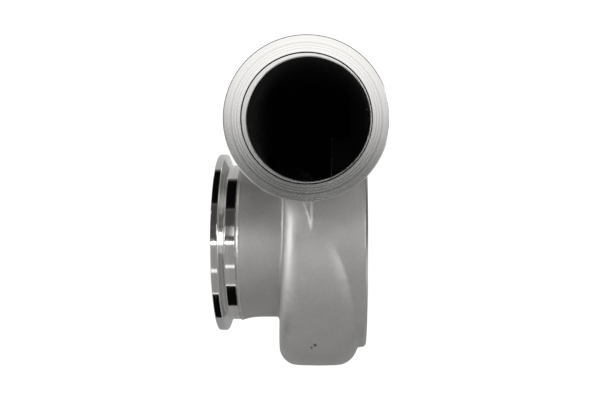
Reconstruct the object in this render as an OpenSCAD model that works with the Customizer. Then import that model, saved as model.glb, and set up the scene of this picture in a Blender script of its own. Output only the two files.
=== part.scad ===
// Turbine housing of a radial turbocharger: a stainless volute with a V-band inlet,
// a V-band outlet and a bolted flange for the bearing housing.
// The turbine axis is X. The origin lies on it, in the plane of the bearing flange's face.
// The outlet points along -X, the inlet along -Y, and +Z is up.

/* [Bearing flange] */
// Outer radius of the barrel round the bearing side
barrel_r = 54.1; // [53.5:0.1:56]
// Length of the barrel, from its face to the gas passage
barrel_len = 17.5; // [16.5:0.1:18]
// Chamfer round the barrel's face
barrel_chamfer = 1.0; // [0.4:0.1:1.5]
// Radius of the pilot bore that takes the bearing housing
pilot_r = 41.0; // [39:0.1:42]
// Depth of the pilot bore
pilot_depth = 9.0; // [6:0.1:11]
// Radius of the opening behind the pilot bore, where the heat shield sits
shield_r = 33.0; // [32:0.1:35]
// Diameter of the bolt circle
bolt_circle_d = 95.0; // [93:0.1:97]
// Number of tapped holes
bolt_count = 6; // [4:1:8]
// Radius of a tapped hole, at its thread's core
bolt_hole_r = 3.4; // [2.5:0.1:3.4]
// Depth of a tapped hole
bolt_hole_depth = 13.0; // [8:0.5:14]

/* [Turbine wheel space] */
// Radius at which the gas leaves the scroll for the wheel
throat_r = 31.0; // [29:0.1:32]
// Width of the gap through which the gas reaches the wheel
throat_width = 8.0; // [6:0.1:9]
// Radius of the bore round the wheel's outlet
wheel_bore_r = 24.8; // [23:0.1:26]
// Axial length of the curve from the throat to the wheel bore
shroud_curve_len = 10.0; // [8:0.5:12]
// Length of the wheel bore, past the curve
wheel_bore_len = 8.5; // [6:0.5:9]

/* [Outlet] */
// Distance from the bearing face to the outlet face
housing_len = 74.8; // [72:0.1:80]
// Outer radius of the discharge nozzle beside the scroll
nozzle_r = 38.6; // [38:0.1:39]
// Outer radius of the discharge nozzle's end
nozzle_end_r = 40.2; // [39.8:0.1:40.6]
// Length over which the nozzle's outside widens to its end
nozzle_flare_len = 9.5; // [6:0.5:10]
// Length of the outlet's turned ring
outlet_ring_len = 11.4; // [10:0.1:12]
// Outer radius of the outlet's V-band rim
outlet_rim_r = 45.5; // [44:0.1:47]
// Width of the outlet's rim
outlet_rim_w = 3.1; // [2.5:0.1:3.5]
// Radius of the ring behind the outlet's rim
outlet_collar_r = 39.9; // [39.6:0.1:40.2]
// Radius of the outlet bore
outlet_bore_r = 36.5; // [35:0.1:37.5]

/* [Inlet] */
// Distance from the turbine axis forward to the inlet face
inlet_reach = 90.0; // [86:0.5:100]
// Height of the inlet above the turbine axis
inlet_height = 53.0; // [52:0.1:54]
// Distance from the bearing face back to the middle of the inlet
inlet_offset = 27.4; // [26.5:0.1:28]
// Outer radius of the inlet's V-band rim
inlet_rim_r = 35.9; // [35:0.1:38]
// Width of the inlet's rim
inlet_rim_w = 3.0; // [2.5:0.1:3.5]
// Radius of the ring behind the inlet's rim
inlet_collar_r = 31.9; // [31.6:0.1:32.2]
// Length of the inlet's turned ring
inlet_ring_len = 10.0; // [9:0.1:11]
// Outer radius of the spigot inside the inlet ring
spigot_r = 28.25; // [28:0.05:29]
// Radius of the gas bore in the spigot
inlet_bore_r = 26.35; // [25.5:0.05:26.5]
// Sideways shift of the cast bore from the middle of the flange
core_shift_x = 0.9; // [0:0.1:1]
// Downward shift of the cast bore from the middle of the flange
core_shift_z = 0.3; // [0:0.1:0.5]
// Outer radius of the neck behind the inlet ring
neck_r = 30.4; // [30:0.1:31]
// Length of the round neck between the runner and the inlet ring
neck_len = 8.0; // [6:0.5:9]
// Leg of the weld bead behind the inlet ring
inlet_bead = 1.3; // [0.8:0.1:1.4]

/* [V-band profile] */
// Slope of a V-band face from the plane of its flange, in degrees
band_angle = 20; // [15:1:25]
// Radius of the rim's edge and of the root beside the V face
band_fillet = 1.0; // [0.6:0.1:1.2]
// Chamfer of the small edges on the turned rings
edge_chamfer = 0.4; // [0.2:0.1:0.6]
// Depth of the closing weld between outlet ring and nozzle
outlet_bead_depth = 1.6; // [1:0.1:1.8]
// Width of the closing weld between outlet ring and nozzle
outlet_bead_w = 0.9; // [0.6:0.1:1.2]

/* [Scroll] */
// Wall of the scroll and the inlet runner
scroll_wall = 4.0; // [3.5:0.1:4.5]
// Growth of the scroll's outer radius for each degree round the axis
scroll_pitch = 0.105; // [0.095:0.001:0.108]
// Angle above the front at which the scroll grows out of the barrel, in degrees
scroll_start = 6; // [4:1:8]
// Distance from the bearing face to the scroll's flank on the outlet side, at the front
flank_front = 40.1; // [39:0.1:41]
// Growth of that distance for each degree round the axis
flank_pitch = 0.049; // [0.04:0.001:0.052]
// Distance from the bearing face to the scroll's shoulder, where it has its full width
shoulder_end = 3.7; // [3:0.1:6]
// Distance that the shoulder still has to go at the front
shoulder_start = 11.8; // [9:0.1:12]
// Angle in which the shoulder covers most of that distance, in degrees
shoulder_turn = 23; // [18:1:30]
// Width of the rounding on the flank's side
flank_round = 9.0; // [6:0.5:10]
// Width of the rounding on the shoulder's side
shoulder_round = 10.5; // [6:0.5:11]
// Rise of the scroll's back in the middle of its width
scroll_crown = 0.9; // [0.3:0.1:1.5]
// Radius of the passage's outside where it ends at the tongue
tongue_r = 33.0; // [32.5:0.1:34]
// Angle of the tongue's tip above the front, in degrees
tongue_angle = 54; // [48:6:60]
// Distance from the bearing face to the step beside the tongue
tongue_step = 26.2; // [24:0.1:28]
// Radius of the fillet where the scroll's front runs into the runner's underside
underside_fillet = 12.0; // [8:0.5:16]

/* [Hidden] */

// Degrees between the scroll's sections, and the number of steps along the runner
scroll_step = 6;
runner_steps = 12;
// Steps of a rounded corner in the casting's sections
corner_steps = 6;
// Sides of the casting's round cuts, which stand just clear of the rounds they sit on
cut_sides = 124;
// Turn of those facets, so that none of their edges meets an edge of the scroll
cut_turn = 0.5;
seat_gap = 0.02;
// Running gap between the spigot and the inlet ring
spigot_gap = 0.05;
// Overrun of a cut past the solid that it cuts
past = 1;
// Number of the front wall's level steps
wall_steps = 8;
// How far the front wall reaches into the runner
wall_top = 1.6;

throat_x = -barrel_len - throat_width;
wheel_bore_x = throat_x - shroud_curve_len;
shroud_end_x = wheel_bore_x - wheel_bore_len;
// The shroud's lip, and where its slope towards the nozzle's radius ends
lip = [throat_x - 1, throat_r + 2];
slope_end = [throat_x - (nozzle_r - throat_r) * 1.2, nozzle_r];
outlet_ring_x = outlet_ring_len - housing_len;
inlet_x = -inlet_offset;
neck_y = inlet_ring_len + neck_len - inlet_reach;
// Angles of the scroll's bottom, its top and the end of its tail, from the front down and round
bottom_angle = 90;
top_angle = 270;
tail_angle = -84;
// Number of steps along a section's straight sides and along its floor
side_steps = 4;
floor_steps = 6;
// How far tail and passage run into the bearing flange's room, and where the front wall starts
tail_overlap = 2;
passage_overlap = 0.5;
front_low = 4;
// How far the front wall stays inside the tail's flank
wall_inset = 0.3;
// How far the front wall's foot sinks into the barrel, and its slope there
wall_sink = 1;
step_slope = 0.6;
// Radius down to which the casting's sections reach, inside the wheel space
section_floor = throat_r - 3;
underside_z = inlet_height - neck_r;

// Points of an arc round centre c, from angle a to angle b, in n steps
function arc(c, r, a, b, n) =
  [for (i = [0:n]) c + r * [cos(a + (b - a) * i / n), sin(a + (b - a) * i / n)]];

// A ring turned round the turbine axis, from points of x and radius
module turned_x(points, sides = 180) {
  rotate([0, 90, 0])
    rotate_extrude($fn = sides)
      polygon([for (p = points) [p[1], p[0]]]);
}

// A ring turned round the inlet's axis, from points of depth behind its face and radius
module turned_inlet(points) {
  translate([inlet_x, -inlet_reach, inlet_height])
    rotate([-90, 0, 0])
      rotate_extrude($fn = 180)
        polygon([for (p = points) [p[1], p[0]]]);
}

// Outline of a V-band rim, as depth behind the face and radius, from the face to the collar
function band_outline(rim_r, rim_w, collar_r) =
  let (
    f = band_fillet,
    drop = rim_r - collar_r - 2 * f,
    root_x = rim_w + (2 * f + drop * sin(band_angle)) / cos(band_angle)
  )
  concat(
    [[0, rim_r - edge_chamfer], [edge_chamfer, rim_r]],
    arc([rim_w, rim_r - f], f, 90, band_angle, 5),
    arc([root_x, collar_r + f], f, 180 + band_angle, 270, 5)
  );

// Distances of the scroll's flank and shoulder from the bearing face, and its radii
function flank_x(a) = -flank_front - flank_pitch * max(a, 0);
function shoulder_x(a) = -shoulder_end - shoulder_start * exp(-max(a, 0) / shoulder_turn);
function scroll_r(a) = barrel_r + scroll_pitch * (a + scroll_start);
function passage_r(a) =
  let (front = scroll_r(0) - scroll_wall)
  a < 0 ? front + (front - tongue_r) * a / tongue_angle : scroll_r(a) - scroll_wall;

// A closed section, as points of x and radius: a flank, a rounded and crowned back, a shoulder
function section(left, right, low, top, round_l, round_r, drop_l, drop_r, rise) =
  let (
    n = corner_steps,
    from = left + round_l,
    to = right - round_r,
    crown = function (x) -rise * pow((2 * x - left - right) / (right - left), 2)
  )
  concat(
    [[left, low]],
    [for (i = [0:n]) let (t = 90 * i / n, x = from - round_l * cos(t))
      [x, top - drop_l * (1 - sin(t)) + crown(x)]],
    [for (i = [1:3]) let (x = from + (to - from) * i / 4) [x, top + crown(x)]],
    [for (i = [n:-1:0]) let (t = 90 * i / n, x = to + round_r * cos(t))
      [x, top - drop_r * (1 - sin(t)) + crown(x)]],
    [[right, low]]
  );

// The tail, above the front, is level with the barrel and runs a little way into its room
function outer_section(a, low = section_floor) =
  let (
    left = flank_x(a),
    right = a < 0 ? tail_overlap - barrel_len : shoulder_x(a),
    top = a < 0 ? barrel_r : scroll_r(a),
    round_r = a < 0 ? tail_overlap * 0.9 : min(shoulder_round, (right - left) * 0.3),
    drop_r = a < 0 ? round_r : max(min(round_r, top - barrel_r + 1), 1),
    rise = scroll_crown * min(max(a, 0) / 30, 1)
  )
  section(left, right, low, top, flank_round, round_r, flank_round, drop_r, rise);

function inner_section(a, low = section_floor - past) =
  let (
    left = flank_x(a) + scroll_wall,
    right = max(a < 0 ? -housing_len : shoulder_x(a) - scroll_wall, passage_overlap - barrel_len),
    top = passage_r(a),
    corner = max(min(flank_round - 2, top - throat_r - 2), 0.8)
  )
  section(left, right, low, top, corner, corner, corner, corner, scroll_crown / 2);

// A section with points along its straight sides too, so that it can turn into a round one
function divided(a, b, n) = [for (i = [1:n - 1]) a + (b - a) * i / n];
function with_sides(p) =
  let (last = len(p) - 1)
  concat(
    [p[0]], divided(p[0], p[1], side_steps), [for (i = [1:last - 1]) p[i]],
    divided(p[last - 1], p[last], side_steps), [p[last]], divided(p[last], p[0], floor_steps)
  );

// The points of a round section that match those of section like
function round_section(cx, cz, r, like) =
  let (
    xs = [for (p = like) p[0]],
    zs = [for (p = like) p[1]],
    c = [max(xs) + min(xs), max(zs) + min(zs)] / 2
  )
  [for (p = like) let (t = atan2(p[1] - c[1], p[0] - c[0])) [cx + r * cos(t), cz + r * sin(t)]];

function ease(t) = t * t * (3 - 2 * t);
function blend(p, q, t) = [for (i = [0:len(p) - 1]) p[i] * (1 - ease(t)) + q[i] * ease(t)];

function outer_runner(t) =
  let (p = with_sides(outer_section(top_angle, section_floor - scroll_wall)))
  blend(p, round_section(inlet_x, inlet_height, neck_r, p), t);

function inner_runner(t) =
  let (p = with_sides(inner_section(top_angle, section_floor)))
  blend(p, round_section(inlet_x + core_shift_x, inlet_height - core_shift_z, inlet_bore_r, p), t);

// Points of a section where it stands: turned round the axis to angle a (0 is the front, 90 the
// bottom), or across the runner at y
function at_angle(points, a) = [for (p = points) [p[0], -p[1] * cos(a), -p[1] * sin(a)]];
function at_y(points, y) = [for (p = points) [p[0], y, p[1]]];

// A solid through a list of rings of points, with flat ends
module loft(rings) {
  n = len(rings[0]);
  last = (len(rings) - 1) * n;
  polyhedron(
    points = [for (ring = rings) for (p = ring) p],
    faces = concat(
      [[for (i = [n - 1:-1:0]) i]],
      [[for (i = [0:n - 1]) last + i]],
      [for (k = [0:len(rings) - 2]) for (i = [0:n - 1]) let (j = (i + 1) % n)
        each [[k * n + i, k * n + j, (k + 1) * n + i], [k * n + j, (k + 1) * n + j, (k + 1) * n + i]]]
    )
  );
}

// The rings of a scroll section, a function of the angle, from one angle to another
function rings(section_at, from, to) =
  [for (a = [from:scroll_step:to]) at_angle(with_sides(section_at(a)), a)];
outer_at = function (a) outer_section(a);
inner_at = function (a) inner_section(a);

// The outside of the casting: scroll from its tail to the bottom, and on to the runner's neck
module outer_body() {
  loft(rings(outer_at, tail_angle, bottom_angle));
  loft(concat(
    rings(outer_at, bottom_angle, top_angle - scroll_step),
    [for (i = [0:runner_steps]) at_y(outer_runner(i / runner_steps), neck_y * i / runner_steps)]
  ));
}

// The gas passage: from the tongue to the scroll's bottom, and on past the runner's neck
module gas_passage() {
  loft(rings(inner_at, -tongue_angle, bottom_angle));
  loft(concat(
    rings(inner_at, bottom_angle, top_angle - scroll_step),
    [for (i = [0:runner_steps]) at_y(inner_runner(i / runner_steps), neck_y * i / runner_steps)],
    [at_y(inner_runner(1), neck_y - past)]
  ));
}

// How far forward the tail's front wall stands at height z, with its fillet under the runner
function front_y(z) =
  let (up = max(z - underside_z + underside_fillet, 0), f = underside_fillet)
  -barrel_r - f + sqrt(f * f - pow(min(up, f), 2));

// A level outline of that wall: rounded on the flank's side, sloped down into the barrel on the other
function front_ring(z) =
  let (
    left = wall_inset - flank_front,
    front = front_y(z),
    barrel_y = -sqrt(pow(barrel_r - wall_sink, 2) - z * z),
    slope = (barrel_y - front) * step_slope
  )
  [for (p = concat(
    [[left, -barrel_r / 2]],
    arc([left + flank_round, front + flank_round], flank_round, 180, 270, corner_steps),
    [[-tongue_step - slope, front], [-tongue_step, barrel_y], [-tongue_step, -barrel_r / 2]]
  )) [p[0], p[1], z]];

module front_wall() {
  rise = (underside_z + wall_top - front_low) / wall_steps;
  for (i = [0:wall_steps - 1])
    hull()
      loft([front_ring(front_low + i * rise), front_ring(front_low + (i + 1) * rise)]);
}

// The room inside the casting for the shroud, the nozzle, the wheel and the bearing flange
module core_space() {
  seat = 1 / cos(180 / cut_sides);
  nozzle = nozzle_r * seat + seat_gap;
  rotate([cut_turn, 0, 0])
    turned_x([
      [-housing_len, 0], [-housing_len, nozzle], [slope_end[0], nozzle],
      [lip[0], lip[1] * seat + seat_gap], [-barrel_len, lip[1]],
      [-barrel_len, barrel_r * seat + seat_gap], [past, barrel_r * seat + seat_gap], [past, 0]
    ], cut_sides);
}

// The cast volute: scroll, tongue and inlet runner
module scroll() {
  color([0.56, 0.56, 0.55])
    difference() {
      union() {
        outer_body();
        front_wall();
      }
      gas_passage();
      core_space();
    }
}

// The round end of the runner, which passes through the inlet ring up to its face
module inlet_spigot() {
  c = edge_chamfer;
  end = inlet_ring_len + neck_len;
  color([0.62, 0.62, 0.61])
    difference() {
      turned_inlet([
        [0, 0], [0, spigot_r - c], [c, spigot_r], [inlet_ring_len, spigot_r],
        [inlet_ring_len, neck_r], [end, neck_r], [end, 0]
      ]);
      translate([inlet_x + core_shift_x, -inlet_reach, inlet_height - core_shift_z])
        rotate([-90, 0, 0])
          union() {
            translate([0, 0, -past])
              cylinder(h = end + 2 * past, r = inlet_bore_r, $fn = 180);
            translate([0, 0, -c])
              cylinder(h = 2 * c, r1 = inlet_bore_r + 2 * c, r2 = inlet_bore_r, $fn = 180);
          }
    }
}

// The turned V-band ring round the inlet
module inlet_flange() {
  bore = spigot_r + spigot_gap;
  color([0.80, 0.80, 0.79])
    turned_inlet(concat(
      [[edge_chamfer, bore], [0, bore + edge_chamfer]],
      band_outline(inlet_rim_r, inlet_rim_w, inlet_collar_r),
      [[inlet_ring_len, inlet_collar_r], [inlet_ring_len, bore]]
    ));
}

// The fillet weld between the inlet ring's back and the neck
module inlet_weld() {
  color([0.50, 0.49, 0.47])
    turned_inlet(concat(
      [[inlet_ring_len, neck_r]],
      arc([inlet_ring_len, neck_r], inlet_bead, 90, 0, 6)
    ));
}

// The wall round the turbine wheel, between the scroll's floor and the outlet
module wheel_shroud() {
  curve = [for (i = [0:12]) let (t = 90 * i / 12)
    [wheel_bore_x + shroud_curve_len * cos(t), throat_r - (throat_r - wheel_bore_r) * sin(t)]];
  color([0.66, 0.66, 0.65])
    turned_x(concat(
      curve,
      [[shroud_end_x, wheel_bore_r], [shroud_end_x, nozzle_r], slope_end, lip]
    ));
}

// The discharge nozzle: a cast outside and a diffuser inside
module discharge_nozzle() {
  half_bead = outlet_bead_w / 2;
  len = outlet_ring_x - shroud_end_x;
  bead_floor = outlet_collar_r - outlet_bead_depth;
  flare = [for (i = [0:6]) let (t = i / 6)
    [outlet_ring_x + nozzle_flare_len * (1 - t), nozzle_r + (nozzle_end_r - nozzle_r) * t * t]];
  diffuser = [for (i = [0:12]) let (t = 1 - i / 12)
    [shroud_end_x + len * t, wheel_bore_r + (outlet_bore_r - wheel_bore_r) * (1 - cos(180 * t)) / 2]];
  color([0.56, 0.56, 0.55])
    turned_x(concat(
      [[shroud_end_x, nozzle_r]],
      [for (p = flare) [max(p[0], outlet_ring_x + half_bead), p[1]]],
      [[outlet_ring_x + half_bead, bead_floor], [outlet_ring_x, bead_floor]],
      diffuser
    ));
}

// The closing weld between nozzle and outlet ring, turned almost flush
module outlet_weld() {
  half = outlet_bead_w / 2;
  low = outlet_collar_r - outlet_bead_depth;
  color([0.85, 0.85, 0.84])
    turned_x([
      [outlet_ring_x - half, low], [outlet_ring_x - half, outlet_collar_r],
      [outlet_ring_x + half, nozzle_end_r], [outlet_ring_x + half, low]
    ]);
}

// The turned V-band ring at the outlet
module outlet_flange() {
  half = outlet_bead_w / 2;
  low = outlet_collar_r - outlet_bead_depth;
  c = edge_chamfer;
  rim = band_outline(outlet_rim_r, outlet_rim_w, outlet_collar_r);
  color([0.80, 0.80, 0.79])
    turned_x(concat(
      [[c - housing_len, outlet_bore_r], [-housing_len, outlet_bore_r + c]],
      [for (p = rim) [p[0] - housing_len, p[1]]],
      [[outlet_ring_x - half, outlet_collar_r], [outlet_ring_x - half, low]],
      [[outlet_ring_x, low], [outlet_ring_x, outlet_bore_r]]
    ));
}

// The barrel that takes the bearing housing: pilot bore, heat shield seat and tapped holes
module bearing_flange() {
  c = edge_chamfer;
  color([0.62, 0.62, 0.61])
    difference() {
      turned_x([
        [-barrel_len, shield_r], [-pilot_depth, shield_r], [-pilot_depth, pilot_r],
        [-c, pilot_r], [0, pilot_r + c], [0, barrel_r - barrel_chamfer],
        [-barrel_chamfer, barrel_r], [-barrel_len, barrel_r]
      ]);
      for (i = [0:bolt_count - 1])
        rotate([360 * (i + 0.5) / bolt_count, 0, 0])
          translate([-bolt_hole_depth, 0, bolt_circle_d / 2])
            rotate([0, 90, 0])
              union() {
                cylinder(h = bolt_hole_depth + past, r = bolt_hole_r, $fn = 64);
                translate([0, 0, bolt_hole_depth - c])
                  cylinder(h = 2 * c, r1 = bolt_hole_r, r2 = bolt_hole_r + 2 * c, $fn = 64);
              }
    }
}

scroll();
inlet_spigot();
inlet_flange();
inlet_weld();
wheel_shroud();
discharge_nozzle();
outlet_weld();
outlet_flange();
bearing_flange();
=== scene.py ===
import math

import bpy
import numpy as np
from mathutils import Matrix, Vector
from mathutils.bvhtree import BVHTree


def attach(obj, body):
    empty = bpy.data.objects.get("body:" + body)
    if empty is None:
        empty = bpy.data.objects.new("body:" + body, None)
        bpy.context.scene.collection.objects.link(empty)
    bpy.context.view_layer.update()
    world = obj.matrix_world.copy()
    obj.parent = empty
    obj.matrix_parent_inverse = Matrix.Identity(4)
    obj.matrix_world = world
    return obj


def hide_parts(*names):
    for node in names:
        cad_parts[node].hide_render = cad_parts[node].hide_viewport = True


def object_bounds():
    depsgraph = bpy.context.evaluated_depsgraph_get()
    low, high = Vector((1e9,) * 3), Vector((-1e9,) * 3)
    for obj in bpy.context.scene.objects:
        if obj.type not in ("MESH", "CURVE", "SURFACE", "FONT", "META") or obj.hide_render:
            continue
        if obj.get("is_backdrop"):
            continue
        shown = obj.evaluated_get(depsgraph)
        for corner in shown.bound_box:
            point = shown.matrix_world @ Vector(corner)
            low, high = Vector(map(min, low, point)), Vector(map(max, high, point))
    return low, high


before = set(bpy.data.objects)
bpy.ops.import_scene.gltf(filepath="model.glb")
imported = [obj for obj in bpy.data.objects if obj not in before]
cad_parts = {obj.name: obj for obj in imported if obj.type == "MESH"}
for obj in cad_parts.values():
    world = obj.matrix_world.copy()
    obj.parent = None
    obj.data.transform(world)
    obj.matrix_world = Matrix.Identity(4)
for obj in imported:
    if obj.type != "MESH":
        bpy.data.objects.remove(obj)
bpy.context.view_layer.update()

bl_info = {
    "name": "Turbine housing",
    "version": (1, 0, 0),
    "blender": (4, 5, 0),
    "location": "3D View > Sidebar > Housing",
    "description": "Dresses a stainless turbine housing with turned rings, "
                   "weld beads and a blasted casting skin",
    "category": "Object",
}

MM = 0.001

ALONG_X, ALONG_Y = (1, 0, 0), (0, 1, 0)

# Places of the housing, in metres, as its solids have them
INLET_CENTRE = Vector((-0.0274, -0.09, 0.053))
CORE_SHIFT = Vector((0.0009, 0.0, -0.0003))
OUTLET_X = -0.0748
OUTLET_WELD_X = -0.06385

# V-band rings: rim radius, rim width, collar radius, length, bore radius, bore's edge break
OUTLET_BAND = (0.0455, 0.0031, 0.0399, 0.01095, 0.0365, 0.0004)
INLET_BAND = (0.0359, 0.003, 0.0319, 0.010, 0.02835, 0.0001)

# The spigot: its length, and the depth of its bore's chamfer
SPIGOT_LENGTH, CHAMFER_DEPTH = 0.0184, 0.0009

# The spigot's faces with painted shade: radius that holds its bore, and the joint between it and
# its ring, where the step's shadow is painted
PAINTED_SHADE_BORE = 0.02655
JOINT_RADII, JOINT_DEPTHS = (0.0278, 0.0283), (0.0002, 0.0030)

# Planes that close the passage's three mouths: centre, axis, radius
MOUTHS = [(Vector((-0.0265, -0.0715, 0.0527)), Vector(ALONG_Y), 0.0285),
          (Vector((-0.0635, 0, 0)), Vector(ALONG_X), 0.0385),
          (Vector((-0.0010, 0, 0)), Vector(ALONG_X), 0.0540)]
PLUG_SIDES = 48

# Rays that look for a way out of the passage: start over the face, tilts from its normal, turns
RAY_START = 0.0002
RAY_TILTS = (0.0, 0.8, 2.5, 8.0)
RAY_TURNS = ((1, 0), (0.5, 0.87), (-0.5, 0.87), (-1, 0), (-0.5, -0.87), (0.5, -0.87))

# End of the runner's bore, which the spigot covers: its middle, and reach and turn of the faces
# with painted shade
RUNNER_END, RUNNER_REACH, RUNNER_TURN = (-0.0270, -0.0690, 0.0529), 0.0290, 0.3

# Broad surfaces of the skin: how far their normals agree, and how they are evened out
AGREEMENT, AGREEMENT_SPAN = 0.995, 0.0035
SPREADS, WEIGHT_LEVELS, EVENING_STEPS = 6, 4, 40

# Where the skin lies under machined faces: bores on both sides of a step, the socket, both ends
BORE_STEP_X, OUTLET_SIDE_BORE, WHEEL_SIDE_BORE = -0.0270, 0.0373, 0.0335
SOCKET_X, SOCKET_BORE = -0.0165, 0.0530
BEARING_FACE_X, NOZZLE_END_X = -0.0008, -0.0630
SINK, RAISE = -0.0006, 0.00012

# Small pits that the mould left low on the scroll's front, drawn as dark spots of painted shade:
# place and radius
PAINTED_PIT_SHADE = [((-0.0252, -0.040, -0.0500), 0.0011), ((-0.0270, -0.040, -0.0514), 0.0008)]

# Spacing of the marks that the tool leaves on the turned faces
GROOVE_PITCH_MM = 1.1


def linear(hex_colour):
    """An sRGB hex colour as linear RGBA."""
    parts = [int(hex_colour[i:i + 2], 16) / 255 for i in (1, 3, 5)]
    return tuple(c / 12.92 if c <= 0.04045 else ((c + 0.055) / 1.055) ** 2.4
                 for c in parts) + (1.0,)


def add(tree, kind, settings=None, links=None):
    """Adds a node with its settings and inputs, and links it from other nodes' outputs."""
    node = tree.nodes.new(kind)
    for key, value in (settings or {}).items():
        if isinstance(key, int) or key in node.inputs:
            node.inputs[key].default_value = value
        else:
            setattr(node, key, value)
    for key, source in (links or {}).items():
        tree.links.new(source, node.inputs[key])
    return node


def empty_material(name):
    """A material that has only its output: the material, its tree and the output's surface."""
    material = bpy.data.materials.new(name)
    material.use_nodes = True
    tree = material.node_tree
    tree.nodes.clear()
    return material, tree, add(tree, "ShaderNodeOutputMaterial").inputs["Surface"]


def metal(name, roughness, metallic=1.0):
    """A plain metal: the material, its tree, its shader and its object coordinates."""
    material, tree, surface = empty_material(name)
    shader = add(tree, "ShaderNodeBsdfPrincipled", {"Metallic": metallic, "Roughness": roughness})
    tree.links.new(shader.outputs[0], surface)
    place = add(tree, "ShaderNodeTexCoord").outputs["Object"]
    return material, tree, shader, place


def ramp(tree, factor, stops):
    """A colour ramp through stops of position and hex colour."""
    node = add(tree, "ShaderNodeValToRGB", links={"Fac": factor})
    band = node.color_ramp
    while len(band.elements) < len(stops):
        band.elements.new(0.5)
    for element, (position, colour) in zip(band.elements, stops):
        element.position = position
        element.color = linear(colour)
    return node.outputs["Color"]


def levels(tree, factor, low, high):
    """A factor between 0 and 1 stretched to run from low to high."""
    return add(tree, "ShaderNodeMapRange", {"To Min": low, "To Max": high},
               {"Value": factor}).outputs[0]


def noise(tree, place, size_mm, detail, roughness=0.6):
    """Noise whose largest lumps are about size_mm across."""
    return add(tree, "ShaderNodeTexNoise",
               {"Scale": 1000 / size_mm, "Detail": detail, "Roughness": roughness},
               {"Vector": place}).outputs["Fac"]


def vector_math(tree, operation, first, second, output="Vector"):
    """A sum on a linked vector and a fixed one."""
    node = add(tree, "ShaderNodeVectorMath", {"operation": operation, 1: second}, {0: first})
    return node.outputs[output]


def vector_length(tree, vector):
    """The length of a linked vector."""
    return add(tree, "ShaderNodeVectorMath", {"operation": "LENGTH"}, {0: vector}).outputs["Value"]


def emboss(tree, shader, height, strength, distance):
    """Makes a linked height stand out of a shader's surface."""
    bump = add(tree, "ShaderNodeBump", {"Strength": strength, "Distance": distance},
               {"Height": height})
    tree.links.new(bump.outputs[0], shader.inputs["Normal"])


def blasted_casting(name):
    """Cast stainless steel, bead blasted: even matt grey, fine grain, faint clouds, small pits
    drawn as spots of painted shade.
    """
    material, tree, shader, place = metal(name, 0.52)
    clouds = noise(tree, place, 22.0, 3.0)
    grain = noise(tree, place, 1.1, 6.0, 0.75)
    mixed = add(tree, "ShaderNodeMix", {"data_type": "FLOAT", 0: 0.55},
                {2: clouds, 3: grain}).outputs[0]
    colour = ramp(tree, mixed, [(0.28, "#B4B3B1"), (0.5, "#C4C3C1"), (0.72, "#D3D2D0")])
    # Painted shade: a dark spot on each pit
    for centre, radius in PAINTED_PIT_SHADE:
        away = vector_math(tree, "SUBTRACT", place, centre)
        reach = vector_length(tree, vector_math(tree, "MULTIPLY", away, (1.0, 0.02, 1.0)))
        clear = add(tree, "ShaderNodeMapRange", {"From Min": 0.3 * radius, "From Max": radius},
                    {"Value": reach}).outputs[0]
        colour = add(tree, "ShaderNodeMix", {"data_type": "RGBA", 6: linear("#5C5B59")},
                     {0: clear, 7: colour}).outputs[2]
    tree.links.new(colour, shader.inputs["Base Color"])
    tree.links.new(levels(tree, grain, 0.45, 0.62), shader.inputs["Roughness"])
    emboss(tree, shader, grain, 0.35, 0.00012)
    return material


def grooves(tree, place, centre, axis, pitch_mm):
    """Height of turned grooves: uneven circles round an axis, about pitch_mm apart."""
    moved = vector_math(tree, "SUBTRACT", place, tuple(centre))
    across = tuple(0.0 if abs(a) > 0.5 else 1.0 for a in axis)
    radius = vector_length(tree, vector_math(tree, "MULTIPLY", moved, across))
    along = vector_math(tree, "DOT_PRODUCT", moved, tuple(axis), "Value")
    stretched = add(tree, "ShaderNodeCombineXYZ", links={0: radius, 1: along}).outputs[0]
    return noise(tree, stretched, pitch_mm, 2.0, 0.7)


def turned_steel(name, centre, axis, roughness, colour, groove_depth, anisotropy):
    """Stainless bar, fine turned: bright, with streaks that run round with the tool's path."""
    material, tree, shader, place = metal(name, roughness)
    shader.inputs["Anisotropic"].default_value = anisotropy
    letter = "XYZ"[max(range(3), key=lambda i: abs(axis[i]))]
    tangent = add(tree, "ShaderNodeTangent", {"direction_type": "RADIAL", "axis": letter})
    tree.links.new(tangent.outputs[0], shader.inputs["Tangent"])
    fine = grooves(tree, place, centre, axis, GROOVE_PITCH_MM)
    tree.links.new(ramp(tree, fine, colour), shader.inputs["Base Color"])
    tree.links.new(levels(tree, fine, roughness * 0.75, roughness * 1.3),
                   shader.inputs["Roughness"])
    emboss(tree, shader, fine, 0.5, groove_depth * MM)
    return material


def weld_metal(name):
    """Stainless weld metal: bright and slightly straw coloured, with an uneven surface."""
    material, tree, shader, place = metal(name, 0.33)
    lumps = noise(tree, place, 2.5, 3.0)
    tree.links.new(ramp(tree, lumps, [(0.3, "#A29B8E"), (0.55, "#C4C0B8"), (0.75, "#D8D6D2")]),
                   shader.inputs["Base Color"])
    emboss(tree, shader, lumps, 0.5, 0.0002)
    return material


def painted_shade_passage(name):
    """Painted shade for the inside of a casting: dark grey colour on a dull, rough as-cast finish.
    """
    material, tree, shader, place = metal(name, 0.85, 0.6)
    lumps = noise(tree, place, 3.0, 5.0)
    tree.links.new(ramp(tree, lumps, [(0.3, "#161615"), (0.7, "#2A2A29")]),
                   shader.inputs["Base Color"])
    emboss(tree, shader, lumps, 0.5, 0.0003)
    return material


def deselect():
    """Leaves edit mode and deselects everything."""
    if bpy.context.object and bpy.context.object.mode != "OBJECT":
        bpy.ops.object.mode_set(mode="OBJECT")
    bpy.ops.object.select_all(action="DESELECT")


def dress(node, material):
    """Gives a node of the frame its finish."""
    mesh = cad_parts[node].data
    mesh.materials.clear()
    mesh.materials.append(material)


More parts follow.
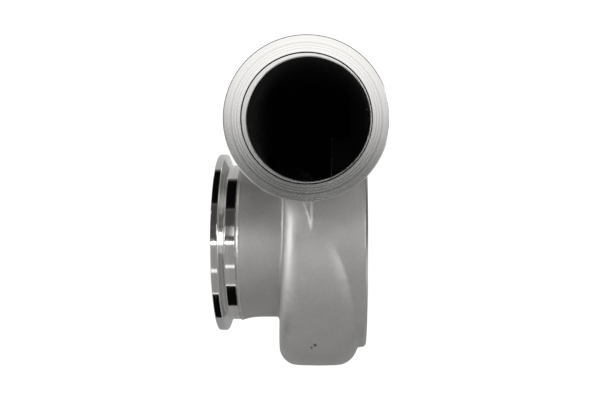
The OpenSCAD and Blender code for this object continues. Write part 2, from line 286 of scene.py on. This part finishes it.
def node_copy(node, name):
    """A copy of a node's mesh as a new object, with its loose triangles merged."""
    deselect()
    copy = bpy.data.objects.new(name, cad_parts[node].data.copy())
    bpy.context.scene.collection.objects.link(copy)
    bpy.context.view_layer.objects.active = copy
    copy.select_set(True)
    bpy.ops.object.mode_set(mode="EDIT")
    bpy.ops.mesh.select_all(action="SELECT")
    bpy.ops.mesh.remove_doubles(threshold=0.000002)
    bpy.ops.object.mode_set(mode="OBJECT")
    return copy


def apply_modifier(piece, kind, **settings):
    """Adds a modifier and applies it."""
    modifier = piece.modifiers.new("step", kind)
    for key, value in settings.items():
        setattr(modifier, key, value)
    bpy.context.view_layer.objects.active = piece
    bpy.ops.object.modifier_apply(modifier=modifier.name)


def select_open_edges():
    """Selects the edges that only one face has."""
    bpy.ops.mesh.select_all(action="DESELECT")
    bpy.ops.mesh.select_non_manifold(extend=False, use_boundary=True, use_wire=False,
                                     use_multi_face=False, use_non_contiguous=False,
                                     use_verts=False)


def supported(profile, margin=0.00012):
    """The profile with a point close to each end of a long side, so that the side shades flat."""
    points = [profile[0]]
    for (d0, r0), (d1, r1) in zip(profile, profile[1:]):
        span = math.hypot(d1 - d0, r1 - r0)
        if span > 6 * margin:
            points += [(d0 + (d1 - d0) * t, r0 + (r1 - r0) * t)
                       for t in (margin / span, 1 - margin / span)]
        points.append((d1, r1))
    return points


def lathe(name, profile, centre, axis, sides, closed=True):
    """A ring turned round an axis: a circle that is extruded and scaled from point to point of a
    profile of depth and radius, and bridged back to its start. Depth runs along the axis."""
    deselect()
    profile = supported(profile)
    turn = (0, math.radians(90), 0) if axis[0] else (math.radians(90), 0, 0)
    flow = Vector(axis)
    depth, radius = profile[0]
    bpy.ops.mesh.primitive_circle_add(vertices=sides, radius=radius, rotation=turn,
                                      location=Vector(centre) + flow * depth)
    ring = bpy.context.object
    ring.name = name
    bpy.ops.object.transform_apply(location=True, rotation=True, scale=True)
    bpy.ops.object.mode_set(mode="EDIT")
    bpy.ops.mesh.select_all(action="SELECT")
    for next_depth, next_radius in profile[1:]:
        step = flow * (next_depth - depth)
        bpy.ops.mesh.extrude_region_move(TRANSFORM_OT_translate={"value": tuple(step)})
        ratio = next_radius / radius
        size = tuple(1.0 if abs(a) > 0.5 else ratio for a in axis)
        bpy.ops.transform.resize(value=size,
                                 center_override=tuple(Vector(centre) + flow * next_depth))
        depth, radius = next_depth, next_radius
    if closed:
        select_open_edges()
        bpy.ops.mesh.bridge_edge_loops()
    bpy.ops.mesh.select_all(action="SELECT")
    bpy.ops.mesh.normals_make_consistent(inside=False)
    bpy.ops.object.mode_set(mode="OBJECT")
    return ring


def arc(centre, radius, start, end, steps):
    """Points of an arc in a profile of depth and radius, angles in degrees."""
    return [(centre[0] + radius * math.cos(math.radians(start + (end - start) * i / steps)),
             centre[1] + radius * math.sin(math.radians(start + (end - start) * i / steps)))
            for i in range(steps + 1)]


def band_profile(rim, rim_width, collar, length, bore, lip):
    """The V-band ring's outline, from its bore's mouth over the rim to the back of its collar."""
    fillet, slope = 0.001, math.radians(20)
    drop = rim - collar - 2 * fillet
    root = rim_width + (2 * fillet + drop * math.sin(slope)) / math.cos(slope)
    edge = 0.0004
    return ([(lip, bore), (0.0, bore + lip)] if lip else [(0.0, bore)]) + [
        (0.0, rim - edge), (edge * 0.3, rim - edge * 0.3), (edge, rim)] + arc(
            (rim_width, rim - fillet), fillet, 90, 20, 6) + arc(
            (root, collar + fillet), fillet, 200, 270, 6) + [(length, collar), (length, bore)]


def finish_piece(piece, materials, body="root", smooth=14):
    """Smooths a piece's shading by angle, gives it its finishes, and sets it on its body."""
    deselect()
    bpy.context.view_layer.objects.active = piece
    piece.select_set(True)
    bpy.ops.object.shade_smooth_by_angle(angle=math.radians(smooth))
    piece.data.materials.clear()
    for material in materials:
        piece.data.materials.append(material)
    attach(piece, body)


class HousingSizes(bpy.types.PropertyGroup):
    """Sizes of the pieces' meshes and of the grooves"""
    ring_sides: bpy.props.IntProperty(
        name="Ring sides", description="Number of sides of a turned ring",
        default=240, min=48, max=360)
    groove_depth: bpy.props.FloatProperty(
        name="Groove depth", description="Depth of the turned grooves, in millimetres",
        default=0.01, min=0.0, max=0.1)
    voxel: bpy.props.FloatProperty(
        name="Casting grain", description="Size of the skin's voxels, in millimetres",
        default=0.75, min=0.5, max=2.0)
    rounding: bpy.props.IntProperty(
        name="Rounding", description="Smoothing steps that round the casting's corners",
        default=3, min=0, max=30)
    keep: bpy.props.FloatProperty(
        name="Kept faces", description="Share of the skin's faces that is kept",
        default=0.38, min=0.05, max=1.0)


class HousingStage(bpy.types.PropertyGroup):
    """Settings of the studio"""
    backdrop: bpy.props.FloatVectorProperty(
        name="Backdrop", description="Colour of floor and backdrop", subtype="COLOR",
        size=3, default=linear("#FFFFFF")[:3], min=0.0, max=1.0)
    key_power: bpy.props.FloatProperty(
        name="Key light", description="Power in watts that each softbox has a share of",
        default=2.4, min=0.0, unit="POWER")


def pale_ground(name, camera_glow, glossy_glow):
    """White paper that glows for camera and mirrors, and still takes a faint shadow."""
    material, tree, surface = empty_material(name)
    colour = tuple(bpy.context.scene.housing_stage.backdrop) + (1.0,)
    dimmed = tuple(0.3 * c for c in colour[:3]) + (1.0,)
    paper = add(tree, "ShaderNodeBsdfDiffuse", {"Color": dimmed})
    rays = add(tree, "ShaderNodeLightPath").outputs
    camera = add(tree, "ShaderNodeMath", {"operation": "MULTIPLY", 1: camera_glow},
                 {0: rays["Is Camera Ray"]}).outputs[0]
    other = add(tree, "ShaderNodeMath", {"operation": "MAXIMUM"},
                {0: rays["Is Glossy Ray"], 1: rays["Is Transmission Ray"]}).outputs[0]
    glow = add(tree, "ShaderNodeMath", {"operation": "MULTIPLY_ADD", 1: glossy_glow},
               {0: other, 2: camera}).outputs[0]
    light = add(tree, "ShaderNodeEmission", {"Color": colour}, {"Strength": glow})
    both = add(tree, "ShaderNodeAddShader", links={0: paper.outputs[0], 1: light.outputs[0]})
    tree.links.new(both.outputs[0], surface)
    return material


def toned_card(name, strength):
    """Finish of a hidden card: one even tone, which polished metal mirrors as a clean band."""
    material, tree, surface = empty_material(name)
    light = add(tree, "ShaderNodeEmission", {"Color": (1, 1, 1, 1), "Strength": strength})
    tree.links.new(light.outputs[0], surface)
    return material


def card(name, centre, size, rotation, material, seen=True):
    """A flat sheet of the studio. Unseen, it still lights and is mirrored, but casts no shadow."""
    deselect()
    bpy.ops.mesh.primitive_plane_add(size=1.0, location=centre, rotation=rotation)
    sheet = bpy.context.object
    sheet.name = name
    sheet.scale = (size[0], size[1], 1.0)
    bpy.ops.object.transform_apply(location=True, rotation=True, scale=True)
    sheet.data.materials.append(material)
    sheet.visible_camera = sheet.visible_shadow = seen
    sheet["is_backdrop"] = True


def softbox(name, place, target, size, power):
    """A rectangular softbox that faces a target."""
    light = bpy.data.lights.new(name, "AREA")
    light.shape = "RECTANGLE"
    light.size, light.size_y = size
    light.energy = power
    lamp = bpy.data.objects.new(name, light)
    lamp.location = place
    lamp.rotation_euler = (Vector(target) - Vector(place)).to_track_quat("-Z", "Y").to_euler()
    bpy.context.scene.collection.objects.link(lamp)
    lamp.visible_camera = False


class HOUSING_OT_stage(bpy.types.Operator):
    """Sets up the floor, the backdrop, the lights and the camera"""
    bl_idname = "housing.stage"
    bl_label = "Stage"

    def execute(self, context):
        scene = context.scene
        settings = scene.housing_stage
        floor_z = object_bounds()[0][2] - 0.0004
        flat, upright = (0, 0, 0), (math.radians(90), 0, 0)
        card("floor", (0, 0.2, floor_z), (6, 6), flat,
             pale_ground("white_paper_floor", 0.97, 0.30))
        card("backdrop", (0, 1.2, 1.8), (6, 4.2), upright,
             pale_ground("white_paper_back", 1.0, 0.55))

        # Hidden cards: flags and lines that the outlet's polished ring mirrors, two fills, and a
        # black card of painted shade on the floor under the ring
        black, grey, pale, white = (toned_card(name, strength) for name, strength in (
            ("black_card", 0.003), ("grey_card", 0.07), ("pale_card", 0.9), ("white_card", 1.5)))
        for name, place, size, rotation, material in (
                ("ring_flag_front", (-0.150, -0.30, 0.165), (0.112, 0.27), upright, grey),
                ("ring_flag_top", (-0.110, -0.105, 0.25), (0.09, 0.26), flat, black),
                # Painted shade: a black card where the floor under the ring lies in the object's
                # shadow
                ("painted_floor_shade_under_ring", (-0.0745, -0.0335, floor_z + 0.0006), (0.023, 0.039), flat,
                 black),
                ("left_fill", (-0.45, -0.15, floor_z + 0.0004), (0.6, 0.9), flat, pale),
                ("right_fill", (0.42, -0.20, floor_z + 0.0004), (0.6, 0.9), flat, pale),
                ("ring_line_near", (-0.085, -0.0535, floor_z + 0.0008), (0.05, 0.0022), flat,
                 white),
                ("ring_line_far", (-0.085, -0.1120, floor_z + 0.0008), (0.05, 0.014), flat,
                 white)):
            card(name, place, size, rotation, material, seen=False)

        # Softboxes: place, target, size and share of the power
        for name, place, target, size, share in (
                ("front_strip", (-0.45, -1.1, -0.018), (-0.04, 0, 0), (0.56, 0.05), 0.30),
                ("front_box", (-0.06, -1.3, 0.36), (-0.03, -0.09, 0.05), (0.42, 0.32), 0.30),
                ("left_box", (-1.0, -0.25, 0.1), (0, 0, 0), (0.5, 0.9), 2.6),
                ("right_box", (0.85, -0.9, 0.1), (0, 0, 0), (0.6, 0.9), 2.8),
                ("top_box", (0.5, 0.3, 1.1), (0, 0, 0), (0.6, 0.5), 0.5)):
            softbox(name, place, target, size, settings.key_power * share)

        world = bpy.data.worlds.new("studio_air")
        scene.world = world
        world.use_nodes = True
        tree = world.node_tree
        tree.nodes.clear()
        rays = add(tree, "ShaderNodeLightPath").outputs
        dim = add(tree, "ShaderNodeBackground", {"Color": linear("#8A8A8A"), "Strength": 0.5})
        white = add(tree, "ShaderNodeBackground", {"Color": (1, 1, 1, 1), "Strength": 1.0})
        mixed = add(tree, "ShaderNodeMixShader",
                    links={0: rays["Is Camera Ray"], 1: dim.outputs[0], 2: white.outputs[0]})
        add(tree, "ShaderNodeOutputWorld", links={"Surface": mixed.outputs[0]})

        # The photo's camera, fitted to the outlines of the outlet's rim and the barrel
        camera = bpy.data.cameras.new("camera")
        camera.lens = 57.6
        camera.sensor_width = 36.0
        camera.shift_x = -0.0657
        camera.shift_y = 0.0703
        viewer = bpy.data.objects.new("camera", camera)
        viewer.location = (-0.0134, -0.5, 0.0)
        viewer.rotation_euler = (math.radians(90), 0, 0)
        scene.collection.objects.link(viewer)
        scene.camera = viewer
        scene.view_settings.view_transform = "Standard"
        return {"FINISHED"}


class HOUSING_OT_casting(bpy.types.Operator):
    """Blends scroll, runner, nozzle and barrel into one cast skin with soft fillets"""
    bl_idname = "housing.casting"
    bl_label = "Casting skin"

    def execute(self, context):
        sizes = context.scene.housing_sizes
        parts = [node_copy(node, "casting") for node in
                 ("scroll", "wheel_shroud", "discharge_nozzle", "bearing_flange")]
        deselect()
        for part in parts:
            part.select_set(True)
        skin = parts[0]
        context.view_layer.objects.active = skin
        bpy.ops.object.join()
        apply_modifier(skin, "REMESH", mode="VOXEL", voxel_size=sizes.voxel * MM, adaptivity=0.0)
        apply_modifier(skin, "SMOOTH", factor=0.5, iterations=sizes.rounding)
        self.even_out(skin)
        self.tuck(skin)
        apply_modifier(skin, "DECIMATE", decimate_type="COLLAPSE", ratio=sizes.keep)
        cast = blasted_casting("blasted_cast_stainless")
        # The passage's inside gets a dark finish: painted shade
        inside = painted_shade_passage("cast_passage_painted_shade")
        finish_piece(skin, [cast, inside], smooth=50)
        self.paint_passage_shade(skin)
        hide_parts("scroll")
        return {"FINISHED"}

    def even_out(self, skin):
        """Smooths the broad surfaces, where the normals nearly agree, and spares the corners."""
        mesh = skin.data
        ends = np.empty(len(mesh.edges) * 2, np.int64)
        mesh.edges.foreach_get("vertices", ends)
        a, b = ends.reshape(-1, 2).T
        count = len(mesh.vertices)
        normal = np.empty(count * 3, np.float32)
        mesh.vertices.foreach_get("normal", normal)
        mean = normal.reshape(-1, 3).astype(float)
        share = 1 + np.bincount(a, minlength=count) + np.bincount(b, minlength=count)
        for _ in range(SPREADS):
            total = mean.copy()
            for axis in range(3):
                total[:, axis] += (np.bincount(a, mean[b, axis], count)
                                   + np.bincount(b, mean[a, axis], count))
            mean = total / share[:, None]
        agreement = np.linalg.norm(mean, axis=1)
        weight = np.clip((agreement - AGREEMENT) / AGREEMENT_SPAN, 0, 1)
        broad = skin.vertex_groups.new(name="broad")
        for level in range(1, WEIGHT_LEVELS + 1):
            chosen = np.nonzero(np.ceil(weight * WEIGHT_LEVELS) == level)[0]
            broad.add(chosen.tolist(), level / WEIGHT_LEVELS, "REPLACE")
        apply_modifier(skin, "SMOOTH", factor=0.5, iterations=EVENING_STEPS, vertex_group="broad")

    def tuck(self, skin):
        """Sinks what lies under a machined face, and lifts the rest just over the solids."""
        vertices = skin.data.vertices
        count = len(vertices) * 3
        co, normal = np.empty(count, np.float32), np.empty(count, np.float32)
        vertices.foreach_get("co", co)
        vertices.foreach_get("normal", normal)
        co, normal = co.reshape(-1, 3), normal.reshape(-1, 3)
        x, r = co[:, 0], np.hypot(co[:, 1], co[:, 2])
        bore = (x < BORE_STEP_X) & (r < OUTLET_SIDE_BORE)
        wheel = (x >= BORE_STEP_X) & (r < WHEEL_SIDE_BORE)
        socket = (x > SOCKET_X) & (r < SOCKET_BORE)
        hidden = bore | wheel | socket | (x > BEARING_FACE_X) | (x < NOZZLE_END_X)
        co += normal * np.where(hidden, SINK, RAISE)[:, None]
        vertices.foreach_set("co", co.ravel())
        skin.data.update()

    def paint_passage_shade(self, skin):
        """Paints shade on the passage: faces from which no way leads out, once its mouths are
        plugged, get the dark finish.
        """
        points = [v.co.copy() for v in skin.data.vertices]
        faces = [tuple(f.vertices) for f in skin.data.polygons]
        for centre, axis, radius in MOUTHS:
            side = axis.orthogonal().normalized()
            other = axis.cross(side)
            first = len(points)
            points += [centre + radius * (math.cos(turn) * side + math.sin(turn) * other)
                       for turn in (math.tau * i / PLUG_SIDES for i in range(PLUG_SIDES))]
            faces.append(tuple(range(first, first + PLUG_SIDES)))
        tree = BVHTree.FromPolygons(points, faces)
        inner = [int(self.enclosed(tree, face) or self.under_spigot(face))
                 for face in skin.data.polygons]
        skin.data.polygons.foreach_set("material_index", inner)
        skin.data.update()

    def enclosed(self, tree, face):
        """True if every ray from a face meets the skin or a plug."""
        normal = face.normal
        side = normal.orthogonal().normalized()
        other = normal.cross(side)
        begin = face.center + normal * RAY_START
        return all(tree.ray_cast(begin, normal + tilt * (a * side + b * other))[0]
                   for tilt in RAY_TILTS for a, b in RAY_TURNS)

    def under_spigot(self, face):
        """True for the faces at the runner's end that look inwards and that the spigot covers."""
        x, y, z = RUNNER_END
        place = face.center
        out = Vector((place.x - x, 0, place.z - z))
        inwards = out.normalized().dot(face.normal) < RUNNER_TURN
        return place.y < y and out.length < RUNNER_REACH and inwards


class HOUSING_OT_outlet(bpy.types.Operator):
    """Turns the outlet's V-band ring and its flush weld"""
    bl_idname = "housing.outlet"
    bl_label = "Outlet ring"

    def execute(self, context):
        sizes = context.scene.housing_sizes
        bright = [(0.3, "#C4C3C1"), (0.55, "#D6D5D3"), (0.75, "#E6E5E4")]
        steel = turned_steel("turned_stainless_outlet", (0, 0, 0), ALONG_X, 0.09, bright,
                             sizes.groove_depth * 0.15, 0.2)
        ring = lathe("outlet_ring", band_profile(*OUTLET_BAND), (OUTLET_X, 0, 0), ALONG_X,
                     sizes.ring_sides)
        finish_piece(ring, [steel])
        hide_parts("outlet_flange")
        bead = lathe("outlet_weld_line",
                     [(0.0, 0.0384), (0.0, 0.0399)] + arc((0.00045, 0.03990), 0.00045, 180, 90, 3)
                     + [(0.0009, 0.0402), (0.0009, 0.0384)],
                     (OUTLET_WELD_X, 0, 0), ALONG_X, sizes.ring_sides)
        finish_piece(bead, [weld_metal("stainless_weld_line")])
        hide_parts("outlet_weld")
        return {"FINISHED"}


class HOUSING_OT_inlet(bpy.types.Operator):
    """Turns the inlet's V-band ring, the spigot's mouth and the fillet weld behind them"""
    bl_idname = "housing.inlet"
    bl_label = "Inlet ring"

    def execute(self, context):
        sizes = context.scene.housing_sizes
        bright = [(0.3, "#B4B3B1"), (0.55, "#CBCAC8"), (0.75, "#DEDDDC")]
        steel = turned_steel("turned_stainless_inlet", INLET_CENTRE, ALONG_Y, 0.17, bright,
                             sizes.groove_depth * 0.35, 0.6)
        mouth_steel = turned_steel("bored_stainless_mouth", INLET_CENTRE, ALONG_Y, 0.2, bright,
                                   sizes.groove_depth * 0.5, 0.5)
        # Painted shade for the spigot's bore and for the step between spigot and ring
        dark = painted_shade_passage("bore_painted_shade")
        ring = lathe("inlet_ring", band_profile(*INLET_BAND), INLET_CENTRE, ALONG_Y,
                     sizes.ring_sides)
        finish_piece(ring, [steel])
        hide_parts("inlet_flange")
        self.mouth(sizes, mouth_steel, dark)
        self.weld(sizes)
        return {"FINISHED"}

    def mouth(self, sizes, steel, dark):
        """The spigot: turned outside, with a bore that the core has shifted a little sideways."""
        outer = [(0.0, 0.0272), (0.0, 0.0278), (0.0001, 0.0279), (0.0024, 0.0279),
                 (0.0026, 0.02825), (0.010, 0.02825), (0.010, 0.0304),
                 (SPIGOT_LENGTH, 0.0304), (SPIGOT_LENGTH, 0.0272)]
        spigot = lathe("inlet_spigot_mouth", outer, INLET_CENTRE, ALONG_Y, sizes.ring_sides,
                       closed=False)
        inner = [(SPIGOT_LENGTH, 0.0265), (CHAMFER_DEPTH, 0.02635),
                 (0.0004, 0.0266), (0.0, 0.0270)]
        bore = lathe("bore", inner, INLET_CENTRE + CORE_SHIFT, ALONG_Y, sizes.ring_sides,
                     closed=False)
        deselect()
        spigot.select_set(True)
        bore.select_set(True)
        bpy.context.view_layer.objects.active = spigot
        bpy.ops.object.join()
        bpy.ops.object.mode_set(mode="EDIT")
        for depth in (0.0, SPIGOT_LENGTH):
            self.pick_edge(spigot, INLET_CENTRE.y + depth)
            bpy.ops.mesh.bridge_edge_loops()
        bpy.ops.mesh.select_all(action="SELECT")
        bpy.ops.mesh.normals_make_consistent(inside=False)
        bpy.ops.object.mode_set(mode="OBJECT")
        finish_piece(spigot, [steel, dark])
        # Painted shade: the bore's wall and the step between spigot and ring get the dark finish
        centre = INLET_CENTRE + CORE_SHIFT
        painted_shade_faces = []
        for face in spigot.data.polygons:
            core, turned = face.center - centre, face.center - INLET_CENTRE
            bore_wall = math.hypot(core.x, core.z) < PAINTED_SHADE_BORE and core.y > CHAMFER_DEPTH
            joint = (JOINT_RADII[0] < math.hypot(turned.x, turned.z) < JOINT_RADII[1]
                     and JOINT_DEPTHS[0] < turned.y < JOINT_DEPTHS[1])
            painted_shade_faces.append(int(bore_wall or joint))
        spigot.data.polygons.foreach_set("material_index", painted_shade_faces)
        spigot.data.update()
        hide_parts("inlet_spigot")

    def pick_edge(self, piece, y):
        """Selects the open edge loops that lie in the plane at y."""
        select_open_edges()
        bpy.ops.object.mode_set(mode="OBJECT")
        for edge in piece.data.edges:
            middle = sum(piece.data.vertices[v].co.y for v in edge.vertices) / 2
            if edge.select and abs(middle - y) > 0.0001:
                edge.select = False
        for vertex in piece.data.vertices:
            vertex.select = vertex.select and abs(vertex.co.y - y) < 0.0001
        bpy.ops.object.mode_set(mode="EDIT")

    def weld(self, sizes):
        """The fillet bead behind the ring."""
        bead = lathe("inlet_weld_bead", [(0.010, 0.0303)] + arc((0.010, 0.0304), 0.0013, 90, 0, 6)
                     + [(0.0113, 0.0303)], INLET_CENTRE, ALONG_Y, sizes.ring_sides)
        finish_piece(bead, [weld_metal("stainless_weld_bead")])
        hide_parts("inlet_weld")


class HOUSING_OT_finishes(bpy.types.Operator):
    """Gives the casting's machined nodes their turned finish"""
    bl_idname = "housing.finishes"
    bl_label = "Finishes"

    def execute(self, context):
        depth = context.scene.housing_sizes.groove_depth
        bright = [(0.3, "#B9B8B6"), (0.55, "#CFCECC"), (0.75, "#E2E1E0")]
        machined = turned_steel("turned_casting", (0, 0, 0), ALONG_X, 0.3, bright, depth, 0.5)
        for node in ("wheel_shroud", "discharge_nozzle", "bearing_flange"):
            dress(node, machined)
        return {"FINISHED"}


class HOUSING_PT_panel(bpy.types.Panel):
    """Lists the housing's steps and sizes"""
    bl_idname = "HOUSING_PT_panel"
    bl_label = "Turbine housing"
    bl_space_type = "VIEW_3D"
    bl_region_type = "UI"
    bl_category = "Housing"

    def draw(self, context):
        scene = context.scene
        for group in (scene.housing_sizes, scene.housing_stage):
            for name in group.bl_rna.properties.keys():
                if name not in {"rna_type", "name"}:
                    self.layout.prop(group, name)
        for step in STEPS:
            self.layout.operator(step.bl_idname)


STEPS = (HOUSING_OT_stage, HOUSING_OT_casting, HOUSING_OT_outlet, HOUSING_OT_inlet,
         HOUSING_OT_finishes)
CLASSES = (HousingSizes, HousingStage) + STEPS + (HOUSING_PT_panel,)


def register():
    """Registers the classes and hangs the settings on the scene."""
    for item in CLASSES:
        bpy.utils.register_class(item)
    bpy.types.Scene.housing_sizes = bpy.props.PointerProperty(type=HousingSizes)
    bpy.types.Scene.housing_stage = bpy.props.PointerProperty(type=HousingStage)


def unregister():
    """Takes the settings and the classes away again."""
    del bpy.types.Scene.housing_stage
    del bpy.types.Scene.housing_sizes
    for item in reversed(CLASSES):
        bpy.utils.unregister_class(item)


def main():
    """Builds the stage and every piece."""
    register()
    bpy.ops.housing.stage()
    bpy.ops.housing.casting()
    bpy.ops.housing.outlet()
    bpy.ops.housing.inlet()
    bpy.ops.housing.finishes()


if __name__ == "__main__":
    main()
